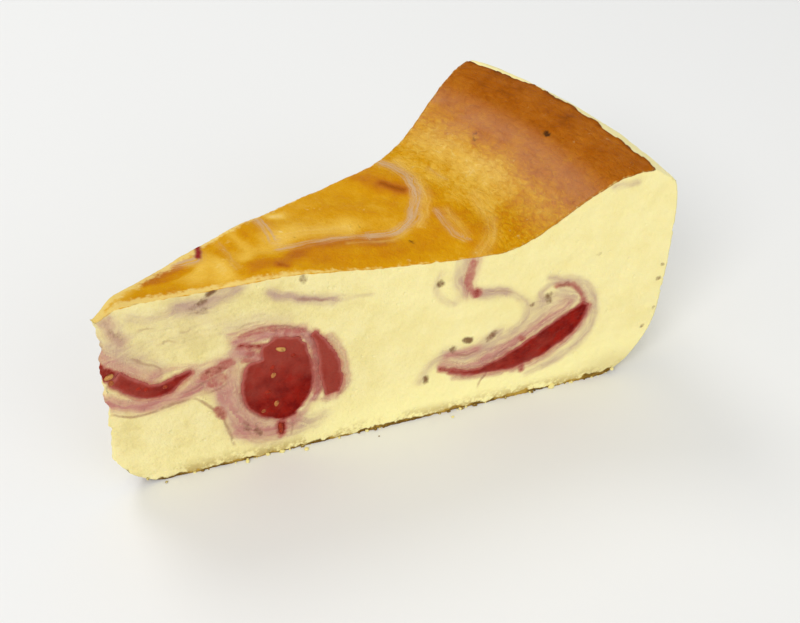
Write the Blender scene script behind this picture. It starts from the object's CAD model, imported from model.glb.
import bmesh
import bpy
import math
import random
import numpy as np
from mathutils import Matrix, Vector, noise


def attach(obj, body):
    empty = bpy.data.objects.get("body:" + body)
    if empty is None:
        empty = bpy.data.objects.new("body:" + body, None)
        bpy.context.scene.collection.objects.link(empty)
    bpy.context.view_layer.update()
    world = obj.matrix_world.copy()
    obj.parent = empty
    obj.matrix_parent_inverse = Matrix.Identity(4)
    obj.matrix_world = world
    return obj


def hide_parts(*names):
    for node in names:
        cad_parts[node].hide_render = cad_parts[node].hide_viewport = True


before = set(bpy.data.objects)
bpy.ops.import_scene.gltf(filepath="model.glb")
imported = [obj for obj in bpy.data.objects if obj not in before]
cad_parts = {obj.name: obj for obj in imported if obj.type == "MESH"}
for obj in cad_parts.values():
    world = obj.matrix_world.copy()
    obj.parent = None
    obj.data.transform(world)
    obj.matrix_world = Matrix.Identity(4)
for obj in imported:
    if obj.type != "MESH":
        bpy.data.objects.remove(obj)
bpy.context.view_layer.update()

mm = 0.001               # shapes are worked out in millimetres and built in metres


# Studio: camera and soft light

studio = {
    "cameraPlace": (-0.10785, -0.15682, 0.17105),
    "cameraHeading": 36.69,      # degrees from +Y towards +X
    "cameraDownTilt": 38.27,
    "cameraRoll": 1.9,
    "lens": 47.0,
    "skyColour": (0.985, 0.995, 1.0, 1),
    "skyStrength": 0.64,
    "lights": {
        # name: place, aim, size in metres, watts, colour
        "windowLight": ((-1.5, -0.74, 1.24), (0.0, 0.0, 0.03), 0.80, 17.0, (1.0, 0.99, 0.965)),
        "frontFill": ((0.35, -1.6, 0.9), (0.0, 0.0, 0.02), 1.3, 4.6, (1.0, 0.99, 0.97)),
        "backSheen": ((-0.1, 0.9, 1.1), (0.03, 0.0, 0.05), 0.6, 4.6, (1.0, 0.99, 0.97)),
    },
}


def makeCamera():
    data = bpy.data.cameras.new("photoCamera")
    data.lens = studio["lens"]
    data.sensor_width = 36.0
    data.clip_start = 0.01
    camera = bpy.data.objects.new("photoCamera", data)
    heading = Matrix.Rotation(-math.radians(studio["cameraHeading"]), 4, "Z")
    tilt = Matrix.Rotation(math.radians(90 - studio["cameraDownTilt"]), 4, "X")
    roll = Matrix.Rotation(math.radians(studio["cameraRoll"]), 4, "Z")
    camera.matrix_world = Matrix.Translation(studio["cameraPlace"]) @ heading @ tilt @ roll
    bpy.context.collection.objects.link(camera)
    bpy.context.scene.camera = camera


def makeLights():
    for name, (place, aim, size, watts, colour) in studio["lights"].items():
        data = bpy.data.lights.new(name, "AREA")
        data.shape = "DISK"
        data.size = size
        data.energy = watts
        data.color = colour
        lamp = bpy.data.objects.new(name, data)
        facing = (Vector(aim) - Vector(place)).to_track_quat("-Z", "Y")
        lamp.matrix_world = Matrix.Translation(place) @ facing.to_matrix().to_4x4()
        bpy.context.collection.objects.link(lamp)
    world = bpy.data.worlds.new("softSky")
    bpy.context.scene.world = world
    world.use_nodes = True
    sky = world.node_tree.nodes["Background"]
    sky.inputs["Color"].default_value = studio["skyColour"]
    sky.inputs["Strength"].default_value = studio["skyStrength"]
    bpy.context.scene.view_settings.view_transform = "Standard"


makeCamera()
makeLights()
print("camera and lights are set")


# The slice's layout, in the same sizes as its CAD source

cake = {
    "angle": math.radians(30.6),
    "axisX": -65.65,
    "tipHeight": 48.6,
    "tipDroop": 2.3,
    "droopEnd": 8,
    "dipDepth": 4.4,
    "crestHeight": 57.9,
    "dip": (34, 83),
    "bank": (87, 119),
    "bankShift": 1.2,
    "crestRadius": 122.9,
    "crestWander": 0.7,
    "crestWaves": 11,
    "shoulder": (127.9, 54.4),
    "shoulderRise": 1.2,
    "flat": (12, 117),
    "tipEdge": [(3.2, 5.1), (1.3, 9.5), (1.6, 16), (2.0, 24), (1.7, 33), (3.1, 39.5), (2.9, 43),
                (2.2, 46.3)],
    "rimWall": [(124.2, 4.0), (127.6, 9.3), (129.7, 15), (130.3, 24), (130.3, 34), (129.9, 43),
                (129.2, 49.5), (127.9, 54.4)],
    "swellHeight": 0.3,
    "swellLength": 17,
}


def smooth(value, low, high):
    t = np.clip((value - low) / (high - low), 0, 1)
    return t * t * (3 - 2 * t)


def curveThrough(points, spots=300):
    # A centripetal curve through the points, given back as evenly spaced places along its length
    p = np.array(points, float)
    p = np.vstack([2 * p[0] - p[1], p, 2 * p[-1] - p[-2]])
    gaps = np.linalg.norm(np.diff(p, axis=0), axis=1) ** 0.5
    t = np.linspace(0, 1, 24, endpoint=False)[:, None]
    parts = []
    for i in range(1, len(p) - 2):
        before, span, after = gaps[i - 1], gaps[i], gaps[i + 1]
        leave = ((p[i] - p[i - 1]) / before - (p[i + 1] - p[i - 1]) / (before + span)
                 + (p[i + 1] - p[i]) / span) * span
        arrive = ((p[i + 1] - p[i]) / span - (p[i + 2] - p[i]) / (span + after)
                  + (p[i + 2] - p[i + 1]) / after) * span
        parts.append(p[i] + leave * t + (3 * (p[i + 1] - p[i]) - 2 * leave - arrive) * t ** 2
                     + (2 * (p[i] - p[i + 1]) + leave + arrive) * t ** 3)
    parts.append(p[-2][None, :])
    dense = np.vstack(parts)
    run = np.concatenate([[0], np.cumsum(np.linalg.norm(np.diff(dense, axis=0), axis=1))])
    even = np.linspace(0, run[-1], spots)
    return np.stack([np.interp(even, run, dense[:, k]) for k in range(dense.shape[1])], axis=1)


def alongCurve(curve, t):
    spots = np.linspace(0, 1, len(curve))
    return np.stack([np.interp(t, spots, curve[:, k]) for k in range(curve.shape[1])], axis=-1)


def inFrame(radius, bearing, height):
    return np.stack([cake["axisX"] + radius * np.cos(bearing), radius * np.sin(bearing), height], axis=-1)


def depthAt(bearing):
    # from 0 at the near cut to 1 at the far one
    return bearing / cake["angle"] + 0.5


def crestLine(bearing):
    return cake["crestRadius"] + cake["crestWander"] * np.sin(bearing * cake["crestWaves"])


def topHeight(radius, bearing):
    droop = cake["tipDroop"] * (1 - smooth(radius, cake["tipEdge"][-1][0], cake["droopEnd"]))
    shift = cake["bankShift"] * depthAt(bearing)
    banked = smooth(radius, cake["bank"][0] + shift, cake["bank"][1] + shift)
    rise = cake["crestHeight"] - cake["tipHeight"] + cake["dipDepth"]
    crest = crestLine(bearing)
    past = np.clip(radius - crest, 0, None) / (cake["shoulder"][0] - crest)
    fall = cake["crestHeight"] - cake["shoulder"][1] - cake["shoulderRise"] * depthAt(bearing)
    x, y, _ = np.moveaxis(inFrame(radius, bearing, 0 * radius), -1, 0)
    swell = np.sin((x + 2 * y) / cake["swellLength"] * math.pi) * np.cos((2 * x - y) / cake["swellLength"])
    calm = smooth(radius, 0, cake["dip"][0]) * (1 - smooth(radius, cake["bank"][0], crest))
    baked = cake["tipHeight"] - droop - cake["dipDepth"] * smooth(radius, *cake["dip"]) + rise * banked
    return baked - fall * past + cake["swellHeight"] * swell * calm


def footHeight(radius):
    (tipR, tipZ), (rimR, rimZ) = cake["tipEdge"][0], cake["rimWall"][0]
    nearTip = np.clip(cake["flat"][0] - radius, 0, None) / (cake["flat"][0] - tipR)
    nearRim = np.clip(radius - cake["flat"][1], 0, None) / (rimR - cake["flat"][1])
    return tipZ * nearTip ** 2 + rimZ * nearRim ** 2


tipCurve = curveThrough(cake["tipEdge"])
rimCurve = curveThrough(cake["rimWall"])


def sectionPoint(a, u, bearing):
    # the upright section's four edges blended into its inside, as radius and height
    lift = cake["shoulderRise"] * depthAt(bearing)
    tip, rim = alongCurve(tipCurve, u), alongCurve(rimCurve, u)
    rim[..., 1] += lift * u ** 4
    footTip, footRim, topTip = [np.array(c) for c in (cake["tipEdge"][0], cake["rimWall"][0],
                                                      cake["tipEdge"][-1])]
    shoulder = np.stack([cake["shoulder"][0] + 0 * lift, cake["shoulder"][1] + lift], axis=-1)
    footR = footTip[0] + a * (footRim[0] - footTip[0])
    topR = topTip[0] + a * (cake["shoulder"][0] - topTip[0])
    low = np.stack([footR, footHeight(footR)], axis=-1)
    high = np.stack([topR, topHeight(topR, bearing)], axis=-1)
    a, u = a[:, None], u[:, None]
    return ((1 - u) * low + u * high + (1 - a) * tip + a * rim
            - (1 - u) * ((1 - a) * footTip + a * footRim)
            - u * ((1 - a) * topTip + a * shoulder))


# Helpers for noise, distances and meshes

def grainField(points, size, seed=0.0, octaves=2):
    # Noise from about -1 to 1 at places in millimetres
    spots = (points / size + np.array([seed * 7.3, seed * 3.1, seed * 5.7])).tolist()
    return np.fromiter((noise.fractal(spot, 1.0, 2.0, octaves) for spot in spots), float, len(spots))


def headings(line):
    # a line's unit direction at each of its points
    if len(line) == 1:
        return np.array([[1.0, 0.0]])
    ahead = np.gradient(line[:, :2], axis=0)
    return ahead / np.linalg.norm(ahead, axis=1)[:, None]


def lengthOf(line):
    return np.linalg.norm(np.diff(line[:, :2], axis=0), axis=1).sum()


def besideLine(places, line, reach, block=4000):
    # For each place: the distance to a line, the distance to its left side, how far along the line that
    # is (below zero or above its length past the ends), and the nearest point's number. Places out of
    # reach keep the reach as their distance.
    count = len(places)
    gap, side = np.full(count, reach), np.full(count, reach)
    run, nearest = np.zeros(count), np.zeros(count, int)
    low, high = line[:, :2].min(axis=0) - reach, line[:, :2].max(axis=0) + reach
    close = np.flatnonzero(((places > low) & (places < high)).all(axis=1))
    steps = np.linalg.norm(np.diff(line[:, :2], axis=0), axis=1)
    travelled = np.concatenate([[0], np.cumsum(steps)])
    ahead = headings(line)
    for start in range(0, len(close), block):
        part = close[start:start + block]
        offset = places[part][:, None, :] - line[None, :, :2]
        d = (offset ** 2).sum(axis=2)
        best = d.argmin(axis=1)
        offset = offset[np.arange(len(part)), best]
        way = ahead[best]
        nearest[part] = best
        gap[part] = np.minimum(reach, np.sqrt(d.min(axis=1)))
        side[part] = way[:, 0] * offset[:, 1] - way[:, 1] * offset[:, 0]
        run[part] = travelled[best] + (way * offset).sum(axis=1)
    return gap, side, run, nearest


def makeObject(name, points, polygons, fields=None):
    mesh = bpy.data.meshes.new(name)
    mesh.from_pydata((np.asarray(points) * mm).tolist(), [], polygons)
    for field, values in (fields or {}).items():
        values = np.asarray(values, np.float32)
        if values.ndim == 2:
            mesh.attributes.new(field, "FLOAT_VECTOR", "POINT").data.foreach_set("vector", values.ravel())
        else:
            mesh.attributes.new(field, "FLOAT", "POINT").data.foreach_set("value", values)
    mesh.polygons.foreach_set("use_smooth", [True] * len(mesh.polygons))
    mesh.update()
    piece = bpy.data.objects.new(name, mesh)
    bpy.context.collection.objects.link(piece)
    return piece


def boxSurface(cellsA, cellsB, cellsC, coarse=1):
    # The outside of a box of cells; sides a=0 and c=0 keep only every coarse-th cell across b
    a, b, c = np.meshgrid(np.arange(cellsA + 1), np.arange(cellsB + 1), np.arange(cellsC + 1), indexing="ij")
    whole = (b == 0) | (b == cellsB) | (c == cellsC) | (a == cellsA)
    thinned = ((a == 0) | (c == 0)) & (b % coarse == 0)
    used = whole | thinned
    index = np.full(used.shape, -1)
    index[used] = np.arange(used.sum())
    loops = []

    def quads(sheet, flip):
        corners = [sheet[:-1, :-1], sheet[1:, :-1], sheet[1:, 1:], sheet[:-1, 1:]]
        loops.extend(np.stack([k.ravel() for k in (corners[::-1] if flip else corners)], axis=1).tolist())

    def strips(sheet, flip):
        for row, nextRow in zip(sheet[:-1], sheet[1:]):
            for start in range(0, cellsB, coarse):
                one = [k for k in row[start:start + coarse + 1].tolist() if k >= 0]
                two = [k for k in nextRow[start:start + coarse + 1].tolist() if k >= 0]
                loop = one + two[::-1]
                loops.append(loop[::-1] if flip else loop)

    quads(index[:, 0, :], False)
    quads(index[:, -1, :], True)
    quads(index[:, :, -1], False)
    quads(index[-1, :, :], False)
    strips(index[:, :, 0], False)
    strips(index[0, :, :].T, True)
    grid = np.stack([a[used] / cellsA, b[used] / cellsB, c[used] / cellsC], axis=1)
    return grid, loops


def cutNormal(bearing):
    # straight out of the cut at this bearing: the near cut's is negative
    side = np.sign(bearing)
    return np.stack([-side * np.sin(bearing), side * np.cos(bearing), 0 * bearing], axis=-1)


# Raspberry filling: spine points are radius, height and half thickness on the near cut, and each
# swirl says how the section has turned and moved at the far cut

swirls = {
    "tip": {"pivot": (12, 28), "turn": 14, "move": (1.5, 2.5), "bow": (0.4, 1.2)},
    "middle": {"pivot": (41, 22), "turn": -17, "move": (-4, 3.5), "bow": (2.5, -1.5)},
    "rim": {"pivot": (97, 17), "turn": 10, "move": (-5, 4), "bow": (1.5, -2)},
}

raspberry = {
    # name: swirl, how rosy it is at the spine's start, at its end and more to the left, spine
    "pieces": {
        "raspberry_tip_streak": ("tip", (0.85, 0.25, 0.0), [
            (4.7, 30.5, 1.9), (7.6, 27.8, 2.0), (10.6, 26.0, 1.8), (13.6, 26.1, 1.6), (16.2, 27.4, 1.2),
            (18.6, 28.8, 0.6)]),
        "raspberry_pocket": ("middle", (1.1, -0.1, -0.1), [
            (39.4, 32.0, 2.7), (38.9, 30.3, 4.8), (38.0, 27.3, 6.7), (37.4, 24.0, 7.6), (37.1, 20.6, 7.9),
            (37.4, 17.3, 7.5), (38.0, 14.2, 5.8), (38.5, 12.0, 3.8), (38.8, 10.7, 1.9)]),
        "raspberry_crescent": ("middle", (1.1, 0.85, 0.0), [
            (45.5, 32.0, 0.8), (47.0, 29.0, 1.2), (48.1, 25.4, 1.8), (48.8, 21.0, 2.3), (49.0, 17.2, 2.3),
            (49.1, 14.9, 1.7)]),
        "raspberry_rim_ribbon": ("rim", (0.75, 0.05, 0.0), [
            (77.5, 12.6, 0.5), (81, 11.5, 0.7), (84.8, 11.0, 1.0), (88, 11.2, 1.6), (91.4, 11.8, 2.4),
            (95.3, 12.9, 2.9), (99.6, 14.9, 3.4), (104.4, 18.0, 3.5), (108.0, 21.1, 2.8),
            (110.0, 23.9, 1.3)]),
    },
    "notch": ("middle", 1.6, 2.9, [(30.6, 31.2), (32.4, 29.6), (34.0, 28.2)]),   # custard laps over it here
    "endRoom": 0.7,          # how far the outline goes past the spine's ends
    "overlap": 0.8,          # how far a piece reaches into the custard round it
    "cells": (96, 40, 14),   # along the spine, across it, and through the slice
    "sunk": 0.05,
    "edgeDrop": 0.4,
    "lumps": 0.14,
    "waver": 0.34,           # how far the outlines wander from the smooth spines
}


def drift(swirl, places, depth):
    # where the swirl has carried a place, by a depth from 0 at the near cut to 1 at the far one
    s = swirls[swirl]
    part = smooth(np.asarray(depth, float), 0, 1)
    turn = math.radians(s["turn"]) * part
    bow = np.sin(math.pi * part)
    offR, offZ = places[..., 0] - s["pivot"][0], places[..., 1] - s["pivot"][1]
    r = s["pivot"][0] + offR * np.cos(turn) - offZ * np.sin(turn) + s["move"][0] * part + s["bow"][0] * bow
    z = s["pivot"][1] + offR * np.sin(turn) + offZ * np.cos(turn) + s["move"][1] * part + s["bow"][1] * bow
    return np.stack([r, z], axis=-1)


def waver(points):
    # a small wandering of radius and height, the same for custard and filling
    size = raspberry["waver"]
    return np.stack([grainField(points, 4.5, 1) + 0.6 * grainField(points, 1.7, 2),
                     grainField(points, 4.5, 3) + 0.6 * grainField(points, 1.7, 4)], axis=1) * size


def drifted(line, swirl, depth):
    moved = np.array(line, float)
    moved[:, :2] = drift(swirl, moved[:, :2], depth)
    return moved


# Marbling on the cuts. Each entry is swirl, half width, strength and points, as radius and height.

marbling = {
    "stain": [      # thin or shallow raspberry that isn't a piece of its own
        ("tip", 1.7, 1.0, [(2.0, 33.3), (3.4, 32.2), (5.2, 30.4)]),
        ("middle", 0.5, 0.9, [(29.6, 32.9), (32.0, 32.4), (35.0, 31.9), (37.5, 32.2)]),
        ("middle", 0.30, 0.5, [(30.0, 35.4), (34.0, 36.0), (39.0, 34.9), (43.0, 33.6)]),
        ("middle", 0.35, 0.6, [(31.0, 30.6), (33.0, 30.2), (34.6, 29.4)]),
        ("middle", 0.35, 0.6, [(30.4, 29.2), (32.0, 28.4), (33.0, 27.4)]),
        ("middle", 1.05, 1.0, [(37.0, 8.8), (37.0, 5.8)]),
        ("middle", 0.9, 0.66, [(21.8, 26.9), (24.0, 28.0), (27.2, 29.2)]),
        ("middle", 0.9, 0.55, [(23.6, 24.8), (25.2, 25.6)]),
        ("middle", 0.7, 0.62, [(24.0, 17.0), (24.5, 15.0)]),
        ("middle", 0.6, 0.50, [(45.3, 29.0), (45.75, 25.0), (45.75, 20.0), (45.5, 16.0)]),
        ("rim", 0.50, 0.56, [(80.8, 42.6), (80.3, 40.0), (79.9, 37.0), (81.0, 34.8)]),
        ("rim", 0.80, 0.75, [(82.1, 34.3), (82.3, 33.6)]),
        ("rim", 0.55, 0.85, [(74.9, 14.0), (76.2, 13.2), (79.0, 12.3)]),
        ("rim", 0.60, 0.85, [(95.3, 9.4), (95.6, 8.3)]),
        ("rim", 0.45, 0.80, [(94.3, 18.2), (95.0, 17.6)]),
        ("rim", 0.30, 0.58, [(101.6, 31.6), (105.0, 31.2), (107.6, 29.2), (108.8, 26.6), (109.6, 24.6)]),
    ],
    "pink": [
        ("tip", 2.3, 0.85, [(2.0, 25.6), (6, 23.4), (10, 22.4), (15, 23.2), (20, 24.2)]),
        ("tip", 2.2, 0.65, [(2.0, 37.0), (5.0, 34.6), (8.4, 31.8), (11.4, 29.8)]),
        ("tip", 1.2, 0.50, [(11.4, 29.6), (14.0, 30.6), (17.0, 31.0), (19.6, 30.4)]),
        ("tip", 1.9, 0.42, [(4.8, 45.6), (5.4, 42.6), (6.6, 40.2)]),
        ("middle", 2.2, 0.60, [(20.5, 26.6), (23.0, 24.4), (25.4, 21.0)]),
        ("middle", 1.6, 0.50, [(20.6, 29.0), (24.0, 29.8), (27.6, 30.6)]),
        ("middle", 2.6, 0.62, [(27.6, 27.0), (26.8, 22.0), (27.0, 17.0), (28.2, 13.0), (30.4, 9.6)]),
        ("middle", 2.8, 0.80, [(28.6, 9.6), (31.5, 7.6), (35.5, 6.8), (38.6, 8.2)]),
        ("middle", 1.9, 1.00, [(30.2, 31.4), (32.0, 29.8), (33.4, 28.0)]),
        ("middle", 1.7, 0.95, [(29.2, 34.2), (34.0, 34.6), (39.5, 33.8), (43.6, 32.4), (45.0, 30.6)]),
        ("middle", 1.3, 0.45, [(28.0, 36.4), (33.0, 37.0), (38.0, 36.0), (43.0, 34.2)]),
        ("middle", 0.9, 1.00, [(43.6, 31.6), (45.2, 28.4), (45.7, 24.5), (45.8, 20.5), (45.6, 16.5),
                               (44.8, 13.8)]),
        ("middle", 1.1, 0.60, [(48.8, 31.0), (51.2, 26.0), (52.3, 21.0), (52.2, 16.5), (50.4, 13.4),
                               (47.0, 13.2)]),
        ("middle", 1.1, 0.50, [(44.6, 13.4), (41.6, 9.8), (40.0, 8.6)]),
        ("rim", 1.3, 0.80, [(75.0, 15.2), (80.0, 13.8), (85.0, 13.4), (90.0, 15.4)]),
        ("rim", 1.0, 0.60, [(78.0, 10.6), (84.0, 9.2), (90.0, 8.6)]),
        ("rim", 1.2, 0.65, [(88.5, 16.2), (95.5, 18.8), (101.0, 22.2), (106.0, 25.4)]),
        ("rim", 2.6, 0.48, [(85.0, 15.0), (91.0, 17.0), (98.0, 20.6), (104.5, 26.2)]),
        ("rim", 1.2, 0.55, [(85.0, 13.8), (89.0, 14.8), (93.0, 16.8)]),
        ("middle", 2.2, 0.50, [(29.6, 21.0), (30.2, 16.0), (32.4, 12.4), (35.6, 10.0)]),
        ("rim", 1.1, 0.60, [(93.0, 8.6), (99.0, 9.6), (105.0, 13.0), (110.0, 18.0), (111.6, 22.6)]),
        ("rim", 1.9, 0.66, [(81.0, 43.6), (80.4, 40.0), (79.8, 36.6), (80.6, 34.4)]),
        ("rim", 1.4, 0.50, [(82.2, 33.9), (83.0, 33.4)]),
        ("rim", 1.5, 0.85, [(76.2, 17.6), (79.6, 17.8), (83.0, 18.2)]),
        ("rim", 0.9, 0.60, [(102.4, 32.2), (106.0, 31.0), (108.8, 28.0), (110.4, 25.0)]),
    ],
    "grey": [
        ("tip", 7.5, 0.26, [(3, 36.0), (12, 39.0), (24, 41.0)]),
        ("tip", 2.4, 0.55, [(3.0, 39.0), (5.6, 36.8), (9.4, 33.6), (12.6, 31.4)]),
        ("tip", 1.5, 0.40, [(9.0, 45.4), (13.0, 44.6), (17.0, 45.0)]),
        ("tip", 2.1, 0.85, [(18.6, 45.4), (22.5, 45.2), (26.0, 46.6), (29.6, 48.0)]),
        ("middle", 1.5, 0.80, [(36.6, 45.2), (38.4, 43.8), (41.6, 42.6), (45.4, 41.2), (49.6, 40.0)]),
        ("middle", 0.9, 0.35, [(50.0, 40.0), (54.0, 39.9), (58.0, 39.6)]),
        ("middle", 2.6, 0.60, [(28.6, 31.0), (24.6, 26.0), (25.4, 19.5), (27.6, 12.0)]),
        ("middle", 3.4, 0.45, [(29.5, 8.5), (34.0, 5.5), (41.0, 6.5)]),
        ("middle", 2.6, 0.45, [(41.0, 9.4), (44.0, 7.6), (46.5, 8.0)]),
        ("middle", 2.4, 0.40, [(29.0, 24.0), (29.4, 17.0), (32.0, 12.0), (36.0, 9.6)]),
        ("middle", 1.6, 0.35, [(40.4, 11.4), (43.6, 14.0), (45.2, 17.0)]),
        ("middle", 2.0, 0.35, [(28.0, 38.0), (34.0, 39.0), (40.0, 37.8)]),
        ("rim", 2.0, 0.60, [(78.6, 43.6), (77.8, 39.0), (79.2, 34.6)]),
        ("rim", 1.2, 0.40, [(73.4, 41.0), (72.4, 38.0), (73.6, 34.6), (77.0, 32.2)]),
        ("tip", 2.0, 0.60, [(4.8, 45.4), (5.6, 42.6), (6.8, 40.0)]),
        ("rim", 1.9, 0.72, [(83.6, 33.6), (86.0, 33.2), (88.6, 32.6)]),
        ("rim", 1.2, 0.55, [(84.2, 33.4), (88.0, 32.8), (91.8, 31.3), (94.5, 28.5), (94.9, 24.0),
                            (92.0, 21.2)]),
        ("rim", 1.2, 0.60, [(100.0, 34.4), (105.0, 33.0), (109.2, 30.4), (112.0, 26.6), (113.0, 21.3),
                            (111.8, 15.0), (108.6, 11.3), (103.0, 8.4), (97.0, 6.6)]),
        ("rim", 2.6, 0.35, [(103.0, 30.0), (109.6, 26.0), (111.2, 20.0), (108.0, 14.0), (101.0, 10.0)]),
        ("rim", 0.9, 0.55, [(99.0, 27.5), (98.2, 30.5), (100.6, 32.4), (104.6, 32.2)]),
        ("rim", 2.8, 0.45, [(98.0, 27.0), (102.5, 27.6), (106.6, 26.8)]),
        ("rim", 1.6, 0.50, [(69.8, 12.0), (71.4, 15.4), (75.0, 17.4), (80.0, 15.8), (86.0, 16.6)]),
        ("rim", 2.2, 0.55, [(76.0, 18.6), (80.0, 18.0), (84.6, 18.6), (88.0, 21.2)]),
        ("rim", 3.0, 0.45, [(86.0, 17.4), (92.0, 19.6), (99.0, 24.0)]),
        ("rim", 1.2, 0.50, [(112.5, 55.2), (118.0, 55.4)]),
    ],
    "vein": [       # fine brown lines
        ("tip", 0.45, 0.60, [(1.8, 22.2), (6.0, 20.4), (10.5, 20.3), (15.0, 21.5), (19.0, 21.7)]),
        ("middle", 0.45, 0.60, [(18.6, 21.8), (21.0, 19.8), (23.6, 16.4), (24.8, 13.6), (25.9, 9.2),
                                (26.8, 5.0)]),
        ("tip", 0.40, 0.40, [(7.6, 36.2), (10.4, 33.4), (13.2, 31.4), (13.2, 29.6)]),
        ("tip", 0.35, 0.34, [(9.6, 41.4), (11.6, 42.2), (13.6, 41.4)]),
        ("tip", 0.35, 0.30, [(13.2, 37.4), (15.0, 38.0), (17.6, 37.4)]),
        ("tip", 0.35, 0.30, [(17.6, 40.2), (18.8, 39.6), (20.6, 39.9)]),
        ("middle", 0.40, 0.50, [(16.5, 23.6), (19.4, 24.4), (22.0, 25.4), (25.0, 26.8)]),
        ("middle", 0.40, 0.45, [(21.6, 22.4), (24.6, 23.0), (27.0, 24.6)]),
        ("middle", 0.35, 0.50, [(30.0, 35.8), (34.0, 36.6), (38.0, 36.2), (42.4, 34.6)]),
        ("middle", 0.35, 0.40, [(28.8, 37.4), (31.0, 38.2), (34.6, 38.2)]),
        ("middle", 0.35, 0.50, [(29.0, 12.8), (29.8, 9.0), (30.6, 6.4)]),
        ("middle", 0.35, 0.50, [(31.4, 11.6), (31.8, 8.6), (32.6, 5.6)]),
        ("middle", 0.35, 0.40, [(39.4, 9.2), (39.6, 6.4), (39.2, 4.2)]),
        ("middle", 0.40, 0.50, [(41.6, 42.6), (45.4, 41.1), (49.0, 40.0)]),
        ("rim", 0.45, 0.60, [(102.0, 31.6), (105.4, 31.0), (107.9, 28.8), (109.0, 26.0)]),
        ("rim", 0.30, 0.60, [(91.8, 16.0), (89.0, 15.2), (87.6, 13.0), (86.6, 10.0), (84.8, 7.6),
                             (84.6, 5.6)]),
        ("rim", 0.45, 0.55, [(85.6, 19.8), (87.4, 21.4), (88.4, 22.0)]),
        ("rim", 0.40, 0.50, [(76.2, 19.4), (78.4, 17.6), (81.4, 17.0), (84.2, 18.0)]),
        ("rim", 0.30, 0.30, [(84.2, 33.8), (88.4, 33.0), (91.8, 31.6)]),
    ],
    "fleck": [
        ("rim", 0.75, 0.75, [(73.4, 38.6), (73.6, 38.4)]),
        ("rim", 0.70, 0.85, [(80.4, 21.4), (81.2, 21.2)]),
        ("rim", 0.50, 0.70, [(77.4, 19.8), (77.6, 19.0)]),
        ("rim", 0.55, 0.60, [(86.0, 20.2), (87.6, 21.6)]),
        ("rim", 0.55, 0.80, [(71.2, 12.6), (71.2, 11.6)]),
        ("rim", 0.65, 0.60, [(100.2, 29.2), (100.3, 27.4)]),
        ("rim", 0.45, 0.45, [(103.0, 31.4), (104.4, 31.3)]),
        ("rim", 0.35, 0.65, [(96.1, 27.4)]),
        ("rim", 0.30, 0.45, [(111.4, 38.0)]),
        ("rim", 0.35, 0.50, [(105.9, 19.0)]),
        ("rim", 0.25, 0.65, [(129.0, 31.4)]),
        ("rim", 0.30, 0.60, [(128.6, 27.4)]),
        ("rim", 0.25, 0.60, [(127.0, 13.4)]),
        ("rim", 0.25, 0.60, [(129.0, 18.6)]),
        ("tip", 0.50, 0.70, [(22.6, 45.8), (23.4, 46.2)]),
        ("tip", 0.50, 0.80, [(24.6, 47.6), (25.4, 48.0)]),
        ("tip", 0.60, 0.40, [(20.4, 44.6), (23.0, 43.8)]),
        ("tip", 0.70, 0.35, [(5.4, 42.8), (6.4, 40.6)]),
        ("middle", 0.50, 0.55, [(43.4, 47.0), (43.6, 46.2)]),
        ("middle", 0.40, 0.35, [(52.2, 41.2)]),
        ("middle", 0.40, 0.50, [(29.4, 11.4), (29.8, 9.6)]),
        ("middle", 0.40, 0.45, [(31.6, 8.6), (32.2, 7.0)]),
        ("middle", 0.40, 0.45, [(24.0, 16.8), (24.4, 15.2)]),
        ("middle", 0.60, 0.35, [(23.0, 27.6), (25.8, 28.6)]),
    ],
}


veilReach = 2.6          # a veil is too faint to see at this many of its half widths


def nearness(gap, width):
    return np.exp(-(gap / width) ** 2)


def strokeLine(spots):
    return curveThrough(spots, 80) if len(spots) > 1 else np.array(spots, float)


def strokeDepth(gap, width, strength):
    # millimetres inside a stain's or fleck's outline, where a weak one stays a pale tint
    return np.minimum(width - gap, -0.9 + 1.4 * strength)


def followLine(flow, closest, near, run, side, apart):
    # The nearest line gives a place its flow, and apart keeps two lines' patterns from matching
    closer = near < closest
    closest[closer] = near[closer]
    flow[closer] = np.stack([run, side, 0 * run + apart], axis=1)[closer]


def plainCut(count):
    return {"fillingDepth": np.full(count, -6.0), "stainDepth": np.full(count, -3.0),
            "fleckDepth": np.full(count, -3.0), "veinGap": np.full(count, 6.0), "vein": np.zeros(count)}


def notchDepth(places, depth):
    # how far the custard laps over the filling's edge
    swirl, width, amount, spots = raspberry["notch"]
    gap = besideLine(places, drifted(curveThrough(spots, 40), swirl, depth), width * 3)[0]
    return amount * nearness(gap, width) * (gap < width * 3)


def insideOutline(places, line, depth):
    # how far inside a piece's outline each place is, then its distances from the spine as besideLine gives
    gap, side, run, nearest = besideLine(places, line, 12.0)
    past = np.maximum(-run, run - lengthOf(line))
    inside = np.minimum(line[nearest, 2] - gap, raspberry["endRoom"] - past)
    return inside - notchDepth(places, depth), gap, side, run, nearest


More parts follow.
